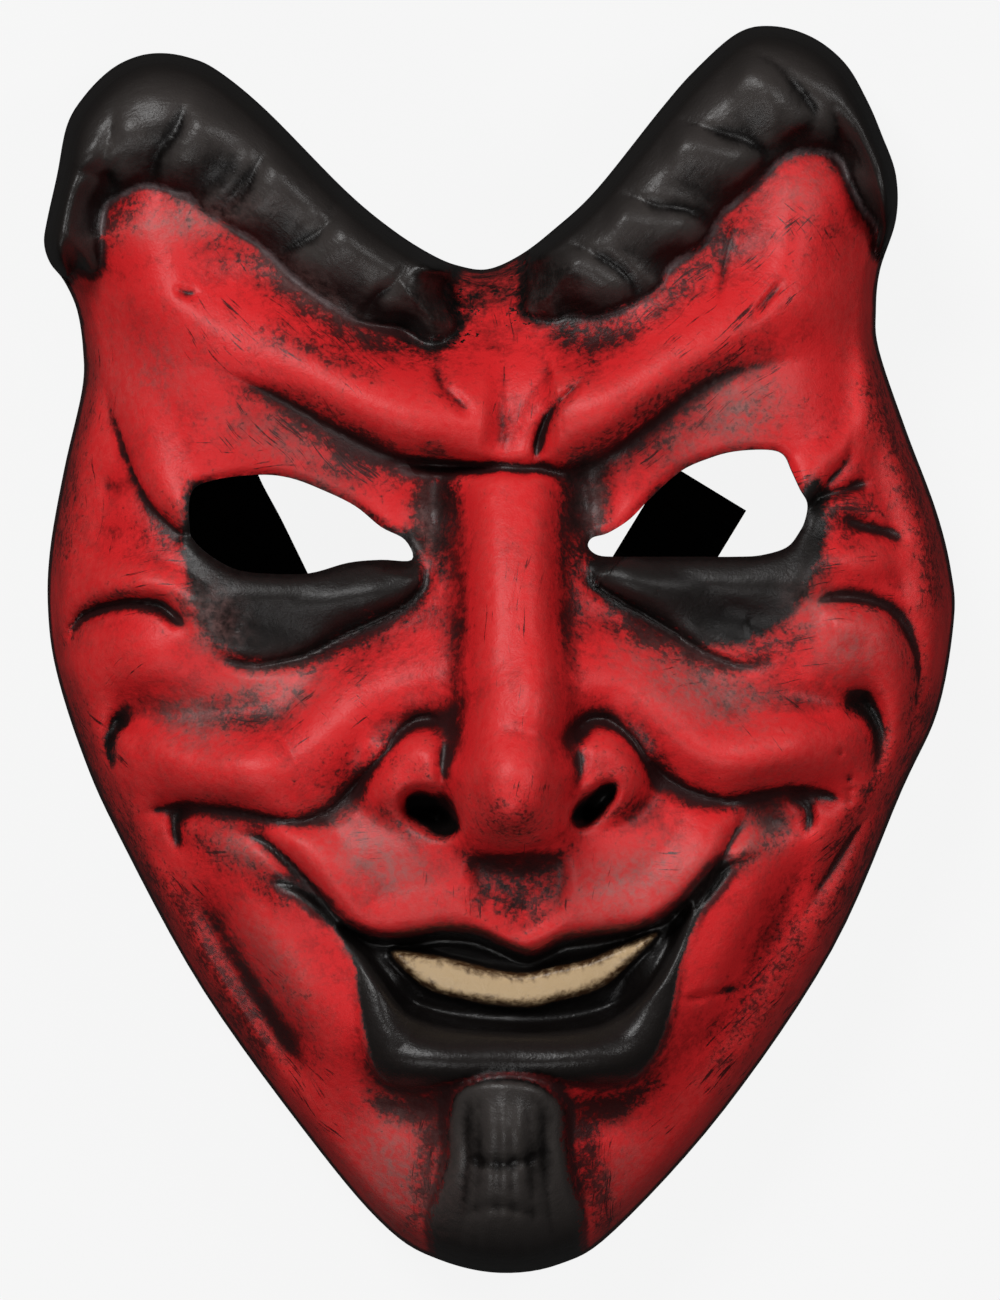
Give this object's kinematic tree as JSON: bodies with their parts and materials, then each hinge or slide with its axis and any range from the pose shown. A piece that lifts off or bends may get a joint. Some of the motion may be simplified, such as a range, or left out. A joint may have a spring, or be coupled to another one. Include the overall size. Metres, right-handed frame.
{
  "type": "venetian carnival mask",
  "caption": "Full-face carnival devil mask of moulded papier-mache with curled horns, a long hooked nose, a wide grin, a beard and glued ribbon ties.",
  "frame": {"origin": "under the middle of the mask's footprint, in the plane of the rim that it lies on", "axes": "+Z out of the face, +Y from the chin towards the forehead and horns, +X to the right as one looks at the face"},
  "size_m": [0.1822, 0.2494, 0.0829],
  "materials": {
    "painted_papier_mache": "satin",
    "black_ribbon": "matte"
  },
  "bodies": {
    "root": {"mask_shell": "painted_papier_mache", "left_ribbon_tie": "black_ribbon", "right_ribbon_tie": "black_ribbon"}
  },
  "joints": []
}
